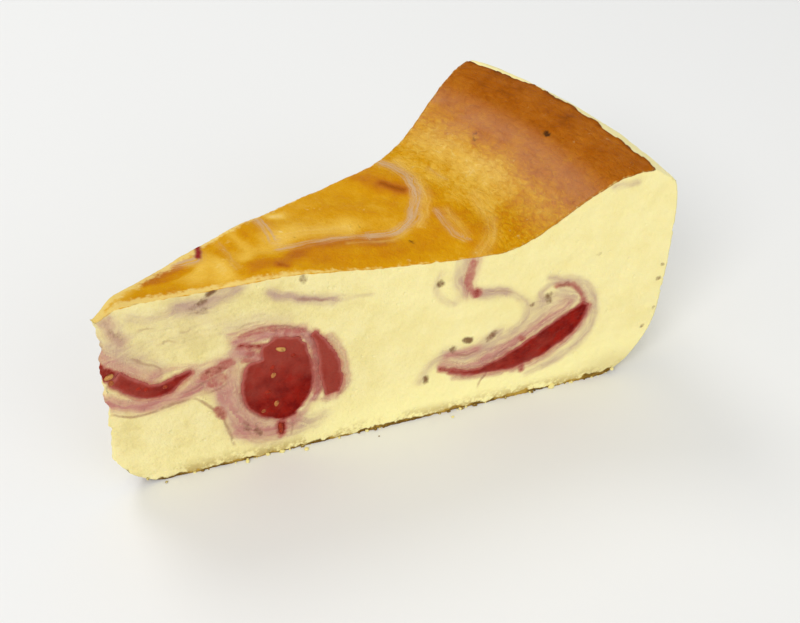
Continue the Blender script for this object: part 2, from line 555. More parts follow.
def marblingFields(points, places, depth):
    # The cut's colour fields, for the places of one cut: filling, stains and flecks as millimetres inside
    # their outlines, veils from 0 to 1, and the flow, which is how far along and beside its veil a place is
    wandering = places + waver(points)
    count = len(places)
    fields = plainCut(count)
    closest, veinClosest = np.full(count, 9.0), np.full(count, 3.0)
    flow = np.stack([places[:, 0], places[:, 1], np.zeros(count)], axis=1)
    for number, (swirl, _, spine) in enumerate(raspberry["pieces"].values()):
        line = drifted(curveThrough(spine), swirl, depth)
        inside, gap, side, run, nearest = insideOutline(wandering, line, depth)
        fields["fillingDepth"] = np.maximum(fields["fillingDepth"], inside)
        near = np.clip(gap - line[nearest, 2], 0, None) / 3
        followLine(flow, closest, near, run, side, 4.7 * number)
    for kind in ("stain", "pink", "grey", "vein", "fleck"):
        rest = np.ones(count)
        for number, (swirl, width, strength, spots) in enumerate(marbling[kind]):
            line = drifted(strokeLine(spots), swirl, depth)
            gap, side, run, _ = besideLine(wandering, line, width * veilReach + 2.0)
            if kind in ("stain", "fleck"):
                depthField = fields[kind + "Depth"]
                np.maximum(depthField, strokeDepth(gap, width, strength), out=depthField)
            elif kind == "vein":
                taper = smooth(np.minimum(run, lengthOf(line) - run), -0.5, 2.0)
                taper = taper * (1 - smooth(gap, 0.8, 1.5))
                better = gap < veinClosest
                veinClosest[better] = gap[better]
                fields["veinGap"][better] = (side / width)[better]
                fields["vein"][better] = (taper * strength)[better]
            else:
                rest *= 1 - strength * nearness(gap, width)
                followLine(flow, closest, gap / width, run, side, 3.1 * number)
        if kind in ("pink", "grey"):
            fields[kind] = 1 - rest
    fields["flow"] = flow
    return fields


# The baked top. Places are the distance from the cake's axis along the slice, and to its side.

bakedTop = {
    "skin": 0.32,            # thickness of the browned skin
    "edgeWander": 0.75,
    "edgeDark": 1.1,
    "farStep": (0.095, 0.14, 1.3),   # its edge steps in between these bearings, by this much
    "toast": 0.44,           # 0 is pale and 1 is dark brown
    "slopeBrowning": ((0.20, 98, 105), (0.13, 105, 114)),    # how much browner, from where to where
    "browner": [             # half width, how much browner or paler, points
        (2.0, 0.03, [(9.5, 0.8), (14.0, -1.4), (20.5, -3.6)]),
        (2.3, -0.28, [(2.0, 0.4), (6.0, 2.0), (11.0, 3.0)]),
        (1.9, 0.24, [(13.0, 4.0), (17.5, 3.2), (22.0, 3.2)]),
        (0.7, 0.12, [(13.8, 2.2), (19.5, 0.8), (25.0, 2.4), (26.8, 3.6)]),
        (3.6, -0.25, [(23.5, -0.6), (27.5, 1.0), (29.0, -4.0)]),
        (1.1, 0.10, [(31.6, 4.0), (31.8, -0.5), (31.2, -5.4)]),
        (1.3, -0.16, [(36.2, 8.0), (36.4, 2.0), (35.0, -0.8)]),
        (1.2, 0.06, [(38.6, 8.0), (38.8, 3.0)]),
        (1.6, -0.30, [(47.6, 10.8), (49.4, 10.4)]),
        (3.4, -0.18, [(41.0, 1.2), (47.0, 3.4), (53.0, 3.0), (60.0, 0.8)]),
        (3.0, -0.08, [(60.0, 0.8), (66.0, -0.8), (71.0, -2.6)]),
        (2.2, 0.20, [(35.0, -4.4), (41.0, -5.6), (48.5, -3.6), (56.0, -5.0), (63.0, -8.0)]),
        (3.0, 0.07, [(48, -8), (58, -12), (68, -12)]),
        (0.9, 0.26, [(39.2, -7.0), (40.4, -7.9)]),
        (3.4, 0.12, [(75.0, 16.5), (78.0, 12.5), (79.5, 8.6)]),
        (1.3, 0.28, [(78.2, 12.8), (79.0, 10.6), (80.6, 8.4)]),
        (2.8, 0.05, [(84.0, -5.0), (85.0, -10.0), (84.0, -14.0)]),
        (2.6, -0.12, [(88.4, 18.0), (90.0, 10.0), (90.0, 3.0), (88.6, -1.0)]),
        (3.0, -0.12, [(94.5, 20.0), (96.5, 10.0), (96.5, 0.0), (93.0, -8.0)]),
        (3.4, -0.08, [(99.0, 12.0), (99.8, 2.0), (98.0, -8.0)]),
        (5.0, 0.08, [(94.0, -20.0), (99.0, -24.0)]),
    ],
    "pale": [                # half width, strength, points
        (1.5, 0.50, [(87.0, 20.0), (86.6, 12.0), (84.6, 5.6), (80.4, -0.8), (75.0, -5.6)]),
        (1.0, 0.40, [(72.0, -6.6), (66.0, -8.2), (60.0, -7.2), (56.0, -6.0)]),
        (2.1, 0.45, [(44.5, 2.4), (52.0, 1.4), (59.0, 0.0)]),
        (2.0, 0.42, [(92.4, -3.0), (90.8, -9.0), (88.6, -14.0), (84.2, -18.4), (79.6, -21.0)]),
        (1.4, 0.40, [(84.4, -3.4), (82.6, -9.0), (81.4, -14.0)]),
        (1.2, 0.40, [(24.0, 6.4), (25.6, 5.8)]),
        (1.0, 0.35, [(42.6, 0.8), (43.6, 0.4)]),
    ],
    "lilac": [
        (1.5, 0.80, [(83.6, 22.0), (84.8, 18.0), (85.0, 13.0), (83.0, 6.8), (78.6, 0.8), (72.6, -4.2),
                     (67.6, -5.8), (62.4, -4.8)]),
        (1.3, 0.60, [(62.4, -4.6), (56.0, -3.0), (50.0, -2.4), (45.4, -1.8), (42.6, -1.2)]),
        (1.5, 0.60, [(44.0, 10.8), (43.6, 6.5), (42.9, 2.6)]),
        (1.1, 0.60, [(82.2, -2.6), (80.9, -7), (79.5, -12.4), (80.2, -15.4)]),
        (0.8, 0.30, [(90.8, 12.6), (91.4, 6.4)]),
        (0.8, 0.30, [(32.4, 6.5), (32.4, 2), (31.8, -3.4)]),
        (1.3, 0.75, [(19.0, 5.0), (22.8, 4.6), (25.0, 4.0), (26.8, 4.0), (27.6, 6.0)]),
    ],
    "stain": [
        (0.9, 0.85, [(28.8, 7.6), (28.0, 5.8), (27.4, 4.6)]),
        (0.5, 0.30, [(14.6, 4.6), (18.6, 4.0)]),
    ],
    "fleck": [
        (0.50, 0.95, [(111.5, -3.9), (111.2, -5.0)]),
        (0.40, 0.50, [(103.4, 11.0), (102.6, 9.2)]),
        (0.30, 0.45, [(114.4, -7.0)]),
        (0.60, 0.40, [(61.8, 0.4), (62.2, -0.4)]),
        (0.45, 0.35, [(66.6, -2.2)]),
        (0.50, 0.62, [(69.0, -10.6), (69.4, -11.0)]),
        (0.45, 0.40, [(47.4, 0.6)]),
    ],
}


def topFields(points, radius, bearing):
    # Colour fields of the baked top
    plan = np.stack([radius * np.cos(bearing), radius * np.sin(bearing)], axis=1)
    wander = np.stack([grainField(points, 7, 11), grainField(points, 7, 12)], axis=1)
    wander += 0.4 * np.stack([grainField(points, 2.2, 13), grainField(points, 2.2, 14)], axis=1)
    plan = plan + 0.45 * wander
    count = len(plan)
    flow, closest = np.stack([plan[:, 0], plan[:, 1], np.zeros(count)], axis=1), np.full(count, 3.0)
    flecks = np.full(count, -3.0)
    fields = {"flow": flow}
    for kind in ("pale", "lilac", "stain"):
        rest = np.ones(count)
        for number, (width, strength, spots) in enumerate(bakedTop[kind]):
            gap, side, run, _ = besideLine(plan, strokeLine(spots), width * veilReach + 1)
            rest *= 1 - strength * nearness(gap, width)
            followLine(flow, closest, gap / width, run, side, 2.3 * number)
        fields["top" + kind.capitalize()] = 1 - rest
    for width, strength, spots in bakedTop["fleck"]:
        gap = besideLine(plan, strokeLine(spots), width * veilReach + 1)[0]
        flecks = np.maximum(flecks, strokeDepth(gap, width, strength))
    fields["topFleckDepth"] = flecks
    toast = bakedTop["toast"] + 0.05 * grainField(points, 14, 15) + 0.07 * grainField(points, 4.5, 16)
    for amount, start, end in bakedTop["slopeBrowning"]:
        toast += amount * smooth(plan[:, 0], start, end)
    for width, amount, spots in bakedTop["browner"]:
        gap = besideLine(plan, strokeLine(spots), width * veilReach)[0]
        toast += amount * nearness(gap, width) * (gap < width * veilReach)
    fields["toast"] = toast
    fields["cutGap"] = radius * np.sin(cake["angle"] / 2 - np.abs(bearing))
    return fields


# Custard body

body = {
    "cells": (250, 84, 108),     # along the slice, across it, and up
    "coarse": 12,
    "skinLine": 0.95,            # mean height of the browned underside's skin on the sides
    # relief of the cuts
    "grain": 0.06,
    "swell": 0.14,
    "bulge": 0.12,
    "crag": 0.16,                # towards the tip
    "crumble": 0.45,             # above the foot, as high as the band
    "crumbleBand": 5.0,
    "pucker": 0.12,              # in the marbling
    "pit": 1.2,                  # under the filling, whose own mesh shows instead
    "dent": 0.12,                # at stains and flecks
    "crinkle": 0.28,             # in the grey smear near the tip
    "knifeMark": 0.03,
    "chip": 0.25,                # along the upper edge
    # relief of the baked top
    "wrinkle": 0.13,
    "groove": 0.10,              # in the lilac swirls
    "bump": 0.08,
    "topDent": 0.25,             # at its flecks
    "bareRim": 0.35,             # where the skin has ended
    "darkRim": 0.15,
    "tipDrop": 0.5,
    "cutDrop": 0.12,             # along both cuts
    # relief of the rim's wall and of the tip's edge
    "wallBump": 0.12,
    "wallPit": 0.3,
    "wallCrumble": 0.4,
    "tipCrag": 0.7,
}


def makeBody():
    grid, loops = boxSurface(*body["cells"], body["coarse"])
    a = 1 - (1 - grid[:, 0]) ** 1.08
    u = grid[:, 2] ** 1.05
    bearing = (grid[:, 1] - 0.5) * cake["angle"]
    section = sectionPoint(a, u, bearing)
    radius, height = section[:, 0], section[:, 1]
    points = inFrame(radius, bearing, height)
    count = len(points)
    onCut = (grid[:, 1] == 0) | (grid[:, 1] == 1)
    onTop, onFoot = grid[:, 2] == 1, grid[:, 2] == 0
    onRim, onTip = grid[:, 0] == 1, grid[:, 0] == 0

    fields = {**plainCut(count), "flow": points.copy(), "topFleckDepth": np.full(count, -3.0),
              "cutGap": np.full(count, 3.0)}
    for kind in ("pink", "grey", "topPale", "topLilac", "topStain"):
        fields[kind] = np.zeros(count)
    for depth in (0, 1):
        cut = grid[:, 1] == depth
        for kind, values in marblingFields(points[cut], section[cut], depth).items():
            fields[kind][cut] = values

    # the tip's narrow end carries on the near cut's marbling
    nearEdge = np.flatnonzero(onTip & (grid[:, 1] == 0))
    row = np.rint(grid[onTip, 2] * body["cells"][2]).astype(int)
    edgeOrder = nearEdge[np.argsort(grid[nearEdge, 2])]
    for kind in ("fillingDepth", "stainDepth", "pink", "grey"):
        fields[kind][onTip] = fields[kind][edgeOrder[row]]

    # the baked skin, as millimetres inside its ragged edge
    below = topHeight(radius, bearing) - height
    edge = crestLine(bearing) + bakedTop["edgeWander"] * (grainField(points * [1, 1, 0], 5, 21)
                                                          + 0.5 * grainField(points * [1, 1, 0], 1.8, 22))
    stepStart, stepEnd, step = bakedTop["farStep"]
    edge = edge - 0.4 - step * smooth(bearing, stepStart, stepEnd)
    skin = bakedTop["skin"] * (1 + 0.7 * grainField(points, 2.5, 23))
    fields["crust"] = np.clip(np.minimum(skin - below, edge - radius), -3, 3)
    darkWidth = bakedTop["edgeDark"] * (1.2 + grainField(points, 3, 24))
    fields["edgeDark"] = smooth(radius, edge - darkWidth, edge)
    fields["toast"] = 0.4 + 0.35 * smooth(radius, 90, 112)
    for kind, values in topFields(points[onTop], radius[onTop], bearing[onTop]).items():
        fields[kind][onTop] = values

    # the browned underside's skin, as millimetres inside its ragged upper edge
    ragged = body["skinLine"] * (0.9 + 0.7 * grainField(points * [1, 1, 0.3], 6, 25)
                                 + 0.7 * grainField(points * [1, 1, 0.3], 1.6, 26))
    ragged += 0.4 * np.exp(-((radius - 28) / 7) ** 2) + 0.9 * smooth(radius, 106, 120)
    ragged -= 0.5 * np.exp(-((radius - 44) / 6) ** 2)
    fields["underSkin"] = np.where(onFoot & ~onCut & ~onRim & ~onTip, 1.5, ragged - height)

    # relief on the cuts
    low = 1 - smooth(height, 0, body["crumbleBand"])
    fine, middle = grainField(points, 1.3, 31), grainField(points, 4, 32)
    crumbly = np.abs(grainField(points, 3.2, 33)) + 0.35 * np.abs(grainField(points, 1.4, 34))
    outward = body["grain"] * fine + body["swell"] * middle + body["bulge"] * grainField(points, 16, 35)
    craggy = 1 - smooth(radius, 30, 70)
    outward -= body["crag"] * craggy * np.abs(grainField(points * [1, 1, 1.6], 2.6, 39))
    outward -= body["crumble"] * low * crumbly
    marbled = np.clip(fields["pink"] + fields["grey"], 0, 1)
    outward -= body["pucker"] * marbled * np.abs(fine)
    outward -= body["pit"] * smooth(fields["fillingDepth"], -0.15, 0.5)
    outward -= body["dent"] * smooth(fields["stainDepth"], -0.2, 0.3)
    outward -= body["dent"] * smooth(fields["fleckDepth"], -0.2, 0.2)
    crinkle = np.exp(-((radius - 17) / 10) ** 2 - ((height - 39) / 6) ** 2)
    outward -= body["crinkle"] * crinkle * np.abs(grainField(points * [1, 1, 2.2], 3.0, 38))
    knife = np.sin((radius * 0.42 + height) / 1.9 + 2 * grainField(points, 14, 36))
    outward += body["knifeMark"] * knife * smooth(radius, 55, 90) * (1 - marbled)
    outward -= body["chip"] * smooth(-below, -1.2, 0) * np.abs(grainField(points, 1.5, 37))
    points = points + cutNormal(bearing) * (outward * onCut)[:, None]

    # relief on the baked top
    across = inFrame(radius / 1.1, bearing * 0.35, height)
    slope = smooth(radius, 84, 100)
    wrinkled = grainField(across, 1.5, 41) * (0.30 + 0.70 * slope)
    rise = body["wrinkle"] * wrinkled + body["bump"] * grainField(points, 5, 42)
    rise -= body["groove"] * fields["topLilac"] * (0.6 + 0.8 * grainField(points, 1.4, 47))
    rise -= body["topDent"] * smooth(fields["topFleckDepth"], -0.2, 0.2)
    rise -= body["bareRim"] * (1 - smooth(fields["crust"], -0.4, 0.1)) * smooth(radius, 100, 118)
    rise += body["darkRim"] * fields["edgeDark"] * (fields["crust"] > 0)
    rise -= body["tipDrop"] * (1 - smooth(radius, 2, 9)) * np.abs(grainField(points, 2.2, 46))
    rise -= body["cutDrop"] * nearness(fields["cutGap"], 0.5)
    points[:, 2] += rise * onTop

    # relief on the rim's wall and on the tip's edge
    wall = grainField(points, 6, 43) + np.abs(grainField(points * [1, 1, 2.5], 2.2, 44))
    wall = body["wallBump"] * wall - body["wallPit"] * smooth(grainField(points, 2.0, 48), 0.25, 0.6)
    wall -= body["wallCrumble"] * low * crumbly
    outDirection = np.stack([np.cos(bearing), np.sin(bearing), 0 * bearing], axis=1)
    points = points + outDirection * (wall * onRim)[:, None]
    notched = body["tipCrag"] * grainField(points, 2.0, 45) - 0.1
    points = points - outDirection * (notched * onTip)[:, None]
    points[:, 2] = np.maximum(points[:, 2], 0.0)

    fields["cakePlace"] = np.stack([radius, bearing * 100, height], axis=1)
    return makeObject("custard", points, loops, fields)


custard = makeBody()
print("custard is shaped:", len(custard.data.polygons), "faces")


def makeFilling(name, swirl, rosy, spine):
    along, across, through = raspberry["cells"]
    grid, loops = boxSurface(along, through, across)
    line = curveThrough(spine)
    spot, way = alongCurve(line, grid[:, 0]), alongCurve(headings(line), grid[:, 0])
    grow = raspberry["overlap"]
    sideways = (2 * grid[:, 2] - 1) * (spot[:, 2] + grow)
    lengthwise = (2 * grid[:, 0] - 1) * grow
    near = np.stack([spot[:, 0] - sideways * way[:, 1] + lengthwise * way[:, 0],
                     spot[:, 1] + sideways * way[:, 0] + lengthwise * way[:, 1]], axis=1)
    places = drift(swirl, near, grid[:, 1])
    bearing = (grid[:, 1] - 0.5) * cake["angle"]
    points = inFrame(places[:, 0], bearing, places[:, 1])
    inside = np.full(len(points), -1.0)
    for depth in (0, 1):
        cut = grid[:, 1] == depth
        wandering = places[cut] + waver(points[cut])
        inside[cut] = insideOutline(wandering, drifted(line, swirl, depth), depth)[0]
    onCut = (grid[:, 1] == 0) | (grid[:, 1] == 1)
    outward = -raspberry["sunk"] - raspberry["edgeDrop"] * (1 - smooth(inside, -0.5, 0.15))
    outward += raspberry["lumps"] * (grainField(points, 2.4, 51) + 0.5 * grainField(points, 1.0, 52))
    leaning = rosy[2] * (2 * grid[:, 2] - 1)
    rose = rosy[0] + (rosy[1] - rosy[0]) * grid[:, 0] + leaning + 0.2 * grainField(points, 3.5, 53)
    flow = np.stack([grid[:, 0] * len(spine) * 4, sideways, 0 * sideways], axis=1)
    points = points + cutNormal(bearing) * (outward * onCut)[:, None]
    fields = {"fillingDepth": inside, "rosy": rose, "flow": flow}
    return makeObject("filling_" + name, points, [loop[::-1] for loop in loops], fields)


fillings = {name: makeFilling(name, *piece) for name, piece in raspberry["pieces"].items()}
print("raspberry filling is shaped:", len(fillings), "pieces")


# Seeds: radius, height, length, lean in degrees, how far each stands out of the near cut, and how tan it is

seeds = {
    "thickness": 0.58,
    "flatness": 0.8,
    "sunk": 0.3,
    "near": [
        (3.2, 32.0, 2.1, 25, 0.20, 0.85), (3.4, 30.2, 1.5, 60, 0.06, 0.35),
        (8.4, 27.4, 1.5, 10, 0.02, 0.0), (9.8, 26.8, 1.3, -35, 0.02, 0.0),
        (13.6, 26.4, 1.2, 30, 0.02, 0.1), (38.0, 30.0, 2.3, -22, 0.24, 1.0),
        (36.1, 23.2, 1.7, 66, 0.04, 0.55), (35.9, 25.2, 1.9, 60, 0.00, 0.0),
        (34.6, 18.8, 1.6, -10, 0.00, 0.0), (36.4, 15.0, 2.0, 80, 0.04, 0.5),
        (33.4, 13.6, 1.3, 30, 0.00, 0.3), (40.6, 27.4, 1.3, 75, 0.00, 0.0),
        (37.0, 7.2, 3.4, 91, 0.10, 0.05),
    ],
    "farCount": 9,
    "seedNumber": 4,
}


def makeSeeds():
    points, loops, tan = [], [], []
    steps, rings = 12, 8
    angles = np.linspace(0, 2 * math.pi, steps, endpoint=False)
    draw = random.Random(seeds["seedNumber"])
    spots = [(0.0, *seed) for seed in seeds["near"]]
    for _ in range(seeds["farCount"]):
        swirl, _, spine = draw.choice(list(raspberry["pieces"].values())[:2])
        r, z, half = draw.choice(spine[1:-1])
        place = np.array([r + draw.uniform(-0.5, 0.5) * half, z + draw.uniform(-0.3, 0.3) * half])
        place = drift(swirl, place, 1.0)
        spots.append((1.0, *place.tolist(), draw.uniform(1.4, 2.2), draw.uniform(0, 180),
                      draw.uniform(0, 0.2), draw.random()))
    for depth, r, z, length, lean, proud, tone in spots:
        bearing = np.array((depth - 0.5) * cake["angle"])
        outAxis = cutNormal(bearing)
        centre = inFrame(np.array(r), bearing, np.array(z)) + outAxis * (proud - seeds["sunk"])
        alongAxis = np.array([math.cos(bearing), math.sin(bearing), 0])
        upAxis = np.array([0, 0, 1.0])
        lean = math.radians(lean)
        longAxis = math.cos(lean) * alongAxis + math.sin(lean) * upAxis
        wideAxis = -math.sin(lean) * alongAxis + math.cos(lean) * upAxis
        first = len(points)
        for ring in range(1, rings):
            t = math.pi * ring / rings
            size = math.sin(t) * (1 - 0.25 * math.cos(t))      # blunter at one end
            for angle in angles:
                pitted = 1 + 0.08 * math.sin(5 * angle + 3 * ring)
                rim = (wideAxis * math.cos(angle) * seeds["thickness"]
                       + outAxis * math.sin(angle) * seeds["thickness"] * seeds["flatness"])
                points.append(centre + longAxis * (-math.cos(t) * length / 2) + rim * size * pitted)
        points.append(centre - longAxis * length / 2)
        points.append(centre + longAxis * length / 2)
        tan.extend([tone] * (len(points) - first))
        for ring in range(rings - 2):
            for k in range(steps):
                one, two = first + ring * steps + k, first + ring * steps + (k + 1) % steps
                loops.append([one, two, two + steps, one + steps])
        for k in range(steps):
            nextK = (k + 1) % steps
            loops.append([len(points) - 2, first + nextK, first + k])
            last = first + (rings - 2) * steps
            loops.append([len(points) - 1, last + k, last + nextK])
    return makeObject("raspberry_seeds", points, loops, {"tan": tan})


seedPiece = makeSeeds()
print("seeds are shaped:", len(seedPiece.data.polygons), "faces")


# Crumbs along the foot of both cuts and of the rim

crumbs = {
    "count": 130,
    "smallest": 0.16,
    "largest": 0.55,
    "browned": 0.45,             # share of them that is browned
    "seedNumber": 11,
    "single": (104.5, 0.85),     # one larger crumb: radius and size
}


def makeCrumbs():
    draw = random.Random(crumbs["seedNumber"])
    shape = bmesh.new()
    bmesh.ops.create_icosphere(shape, subdivisions=2, radius=1.0)
    corners = np.array([v.co[:] for v in shape.verts])
    triangles = [[v.index for v in f.verts] for f in shape.faces]
    shape.free()
    points, loops, browned = [], [], []
    for number in range(crumbs["count"]):
        size = crumbs["smallest"] + (crumbs["largest"] - crumbs["smallest"]) * draw.random() ** 2.2
        side = draw.choice((-1, -1, 1, 1, 0))
        r = draw.uniform(6, 121)
        brown = draw.random() < crumbs["browned"]
        if number == 0:
            side, (r, size), brown = -1, crumbs["single"], False
        if side:
            bearing = side * cake["angle"] / 2
            away = draw.uniform(-0.3, 0.2) * size
            if draw.random() < 0.08:
                away += draw.expovariate(1.0)
            rest = size * 0.5 + float(footHeight(np.array(r)))
            place = inFrame(np.array(r), np.array(bearing), np.array(rest))
            place = place + cutNormal(np.array(bearing)) * away
        else:
            bearing = draw.uniform(-0.5, 0.5) * cake["angle"]
            place = inFrame(np.array(draw.uniform(119.5, 121.5)), np.array(bearing), np.array(size * 0.6))
        squash = np.array([draw.uniform(0.7, 1.25), draw.uniform(0.7, 1.25), draw.uniform(0.55, 0.9)]) * size
        rough = 1 + 0.35 * grainField(corners * 2 + number * 3.7, 1.4, number)
        turn = draw.uniform(0, math.pi)
        spun = corners * rough[:, None] * squash
        spun = np.stack([spun[:, 0] * math.cos(turn) - spun[:, 1] * math.sin(turn),
                         spun[:, 0] * math.sin(turn) + spun[:, 1] * math.cos(turn), spun[:, 2]], axis=1)
        first = len(points)
        lifted = spun + place
        lifted[:, 2] = np.maximum(lifted[:, 2], 0)
        points.extend(lifted)
        browned.extend([float(brown)] * len(corners))
        loops.extend([[first + k for k in triangle] for triangle in triangles])
    return makeObject("foot_crumbs", points, loops, {"browned": browned})


crumbPiece = makeCrumbs()
print("crumbs are shaped:", len(crumbPiece.data.polygons), "faces")


# Node helpers

def rgb(red, green, blue):
    # display values from 0 to 255, as a linear colour
    return tuple((v / 255 / 12.92 if v <= 10 else ((v / 255 + 0.055) / 1.055) ** 2.4)
                 for v in (red, green, blue)) + (1.0,)


def setInputs(tree, node, values):
    # links a socket and sets anything else on the input itself
    for key, value in values.items():
        if isinstance(value, bpy.types.NodeSocket):
            tree.links.new(value, node.inputs[key])
        else:
            node.inputs[key].default_value = value


def addNode(tree, kind, inputs, **settings):
    node = tree.nodes.new(kind)
    for name, value in settings.items():
        setattr(node, name, value)
    setInputs(tree, node, inputs)
    return node


def calculate(tree, operation, first, second=0.0):
    return addNode(tree, "ShaderNodeMath", {0: first, 1: second}, operation=operation).outputs[0]


def ease(tree, value, low, high, toLow=0.0, toHigh=1.0):
    inputs = {"Value": value, "From Min": low, "From Max": high, "To Min": toLow, "To Max": toHigh}
    return addNode(tree, "ShaderNodeMapRange", inputs, interpolation_type="SMOOTHSTEP").outputs["Result"]


def times(tree, *values):
    result = values[0]
    for value in values[1:]:
        result = calculate(tree, "MULTIPLY", result, value)
    return result


def plus(tree, *values):
    result = values[0]
    for value in values[1:]:
        result = calculate(tree, "ADD", result, value)
    return result


def centred(tree, value, size):
    # a pattern round a half, turned into one round zero with the given size
    return calculate(tree, "MULTIPLY", calculate(tree, "SUBTRACT", value, 0.5), size)


def mixColour(tree, amount, first, second):
    return addNode(tree, "ShaderNodeMix", {0: amount, 6: first, 7: second}, data_type="RGBA").outputs[2]


def layered(tree, colour, look, layers):
    # the named colours of a look laid over a colour, one after the other, each by its own amount
    for name, amount in layers:
        colour = mixColour(tree, amount, colour, look[name])
    return colour


def field(tree, name, output="Fac"):
    return addNode(tree, "ShaderNodeAttribute", {}, attribute_name=name).outputs[output]


def objectPlace(tree):
    return addNode(tree, "ShaderNodeTexCoord", {}).outputs["Object"]


def perMetre(tree, millimetres):
    # the scale of a pattern that repeats after this many millimetres
    return calculate(tree, "DIVIDE", 1000.0, millimetres)


def noiseAt(tree, place, scale, detail, roughness=0.5, distortion=0.0):
    inputs = {"Vector": place, "Scale": scale, "Detail": detail, "Roughness": roughness,
              "Distortion": distortion}
    return addNode(tree, "ShaderNodeTexNoise", inputs).outputs["Fac"]


def newGroup(name, inputs, outputs):
    group = bpy.data.node_groups.new(name, "ShaderNodeTree")
    for socketName, value in inputs.items():
        socket = group.interface.new_socket(name=socketName, in_out="INPUT", socket_type="NodeSocketFloat")
        socket.default_value = value
    for socketName in outputs:
        group.interface.new_socket(name=socketName, in_out="OUTPUT", socket_type="NodeSocketFloat")
    return group, group.nodes.new("NodeGroupInput"), group.nodes.new("NodeGroupOutput")


def placeGroup(tree, group, values):
    node = tree.nodes.new("ShaderNodeGroup")
    node.node_tree = group
    setInputs(tree, node, values)
    return node


def newMaterial(name):
    material = bpy.data.materials.new(name)
    material.use_nodes = True
    tree = material.node_tree
    tree.nodes.clear()
    shader = tree.nodes.new("ShaderNodeBsdfPrincipled")
    output = tree.nodes.new("ShaderNodeOutputMaterial")
    tree.links.new(shader.outputs["BSDF"], output.inputs["Surface"])
    return material, tree, shader


def setBump(tree, shader, height, strength, distance):
    bump = addNode(tree, "ShaderNodeBump", {"Height": height, "Strength": strength, "Distance": distance})
    tree.links.new(bump.outputs["Normal"], shader.inputs["Normal"])


# Shared effects: moist grain, damp patches, and streaks that run with the marbling

def makeMoistGrain():
    # Grain of a moist cut: a height for bump, and a tone that drifts round a half; sizes in millimetres
    group, given, result = newGroup(
        "moistGrain", {"Grain Size": 0.6, "Pore Amount": 0.3, "Blotch Size": 6.0}, ("Height", "Tone"))
    place = objectPlace(group)
    grainScale = perMetre(group, given.outputs["Grain Size"])
    poreScale = calculate(group, "MULTIPLY", grainScale, 0.45)
    pore = addNode(group, "ShaderNodeTexVoronoi", {"Vector": place, "Scale": poreScale})
    hole = ease(group, pore.outputs["Distance"], 0.08, 0.28, 1.0, 0.0)
    where = ease(group, noiseAt(group, place, 330.0, 1.0), 0.52, 0.62)
    hole = times(group, hole, where, given.outputs["Pore Amount"])
    grain = noiseAt(group, place, grainScale, 4.0, 0.6)
    blotch = noiseAt(group, place, perMetre(group, given.outputs["Blotch Size"]), 6.0, 0.66)
    tone = calculate(group, "SUBTRACT", blotch, calculate(group, "MULTIPLY", hole, 0.25))
    setInputs(group, result, {"Height": calculate(group, "SUBTRACT", grain, hole), "Tone": tone})
    return group


def makeDampPatches():
    # Roughness that changes in patches between a damp and a dry value
    group, given, result = newGroup(
        "dampPatches", {"Damp": 0.3, "Dry": 0.6, "Patch Size": 3.0}, ("Roughness",))
    patch = noiseAt(group, objectPlace(group), perMetre(group, given.outputs["Patch Size"]), 3.0, 0.6)
    span = calculate(group, "SUBTRACT", given.outputs["Dry"], given.outputs["Damp"])
    roughness = times(group, ease(group, patch, 0.35, 0.65), span)
    setInputs(group, result, {"Roughness": plus(group, roughness, given.outputs["Damp"])})
    return group


def makeSwirlStreaks():
    # Streaks drawn out along the marbling's flow, and a fleck-sized ragged pattern; both lie round a half
    group, given, result = newGroup(
        "swirlStreaks", {"Streak Width": 1.1, "Streak Length": 6.0}, ("Streaks", "Ragged"))
    parts = addNode(group, "ShaderNodeSeparateXYZ", {"Vector": field(group, "flow", "Vector")}).outputs
    place = objectPlace(group)
    lengthwise = calculate(group, "DIVIDE", parts["X"], given.outputs["Streak Length"])
    sideways = calculate(group, "DIVIDE", parts["Y"], given.outputs["Streak Width"])
    sideways = plus(group, sideways, centred(group, noiseAt(group, place, 420.0, 2.0), 1.6))
    along = addNode(group, "ShaderNodeCombineXYZ", {"X": lengthwise, "Y": sideways, "Z": parts["Z"]})
    setInputs(group, result, {"Streaks": noiseAt(group, along.outputs["Vector"], 1.0, 2.0),
                              "Ragged": noiseAt(group, place, 900.0, 4.0)})
    return group


moistGrain = makeMoistGrain()
dampPatches = makeDampPatches()
swirlStreaks = makeSwirlStreaks()


# Custard finish

custardLook = {
    "pale": rgb(239, 226, 166),
    "rich": rgb(232, 216, 147),
    "dull": rgb(212, 196, 136),
    "bright": rgb(252, 241, 174),
    "footBrown": rgb(172, 144, 76),
    "pink": rgb(192, 136, 124),
    "pinkDeep": rgb(164, 92, 80),
    "grey": rgb(190, 160, 138),
    "vein": rgb(150, 100, 80),
    "fleck": rgb(112, 72, 44),
    "stainEdge": rgb(176, 98, 88),
    "stain": rgb(136, 40, 30),
    "toastRamp": [(0.0, rgb(242, 210, 132)), (0.2, rgb(231, 184, 68)), (0.42, rgb(210, 149, 2)),
                  (0.55, rgb(197, 126, 0)), (0.68, rgb(182, 106, 20)), (0.8, rgb(166, 88, 2)),
                  (1.0, rgb(106, 50, 0))],
    "topPale": rgb(231, 190, 98),
    "topLilac": rgb(205, 168, 126),
    "topStain": rgb(142, 34, 34),
    "topFleck": rgb(60, 34, 12),
    "cutRim": rgb(236, 208, 124),
    "underSkin": rgb(112, 82, 26),
    "underSkinPale": rgb(186, 150, 66),
}


def streaked(tree, amount, streaks, contrast):
    # a veil's amount, with more and less of it in streaks
    return plus(tree, amount, times(tree, centred(tree, streaks, contrast), amount))


